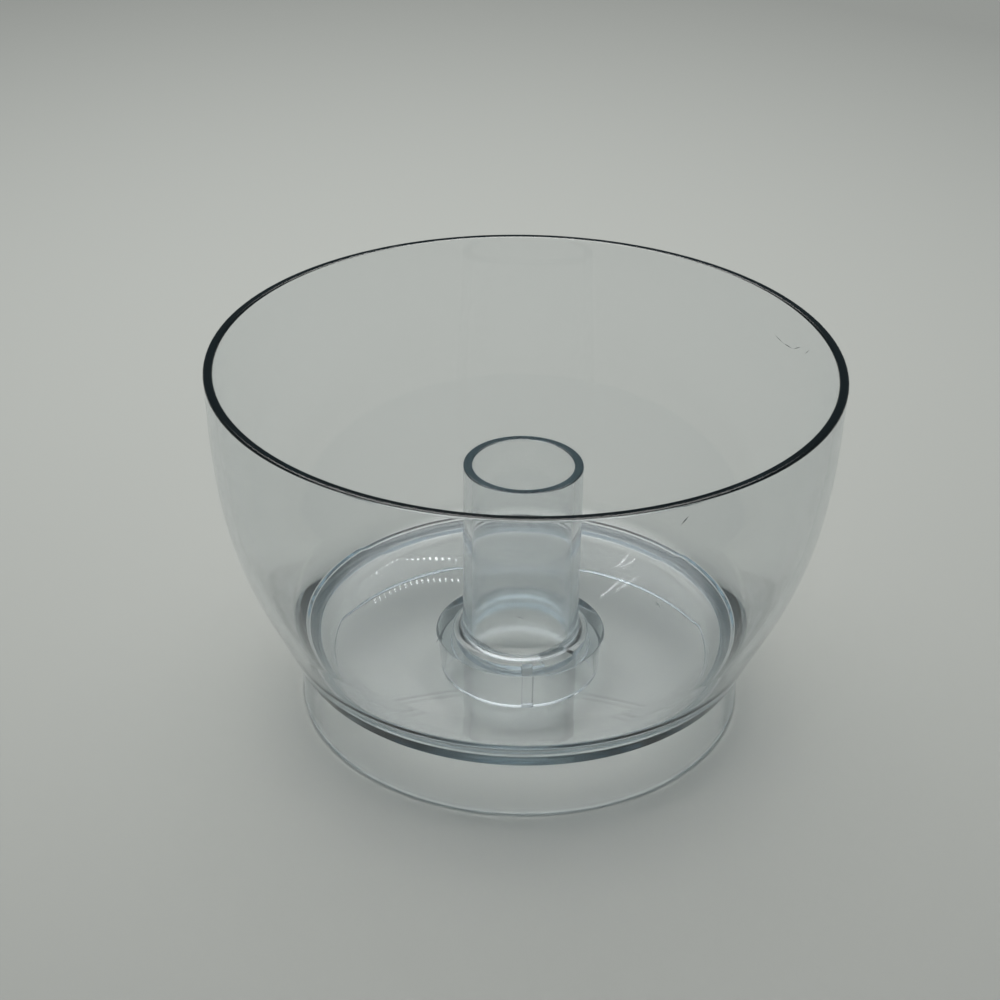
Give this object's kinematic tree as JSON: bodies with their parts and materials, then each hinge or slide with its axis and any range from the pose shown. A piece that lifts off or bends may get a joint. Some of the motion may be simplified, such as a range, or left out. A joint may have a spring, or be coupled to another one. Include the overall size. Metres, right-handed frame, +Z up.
{
  "type": "food processor bowl",
  "caption": "Clear round moulded bowl with a plain foot, an open tube up its middle for a drive shaft and a keyed collar under its floor.",
  "frame": {"origin": "on the bowl's axis, at the plane that the foot stands on", "axes": "+Z up along the bowl's axis; -Y is the side the picture is taken from, with the collar's key a little to its right"},
  "size_m": [0.14, 0.14, 0.0857],
  "materials": {
    "clear_plastic": "polished clear moulding with a faint blue-green tint and light scratches"
  },
  "bodies": {
    "root": {"bowl": "clear_plastic"}
  },
  "joints": []
}
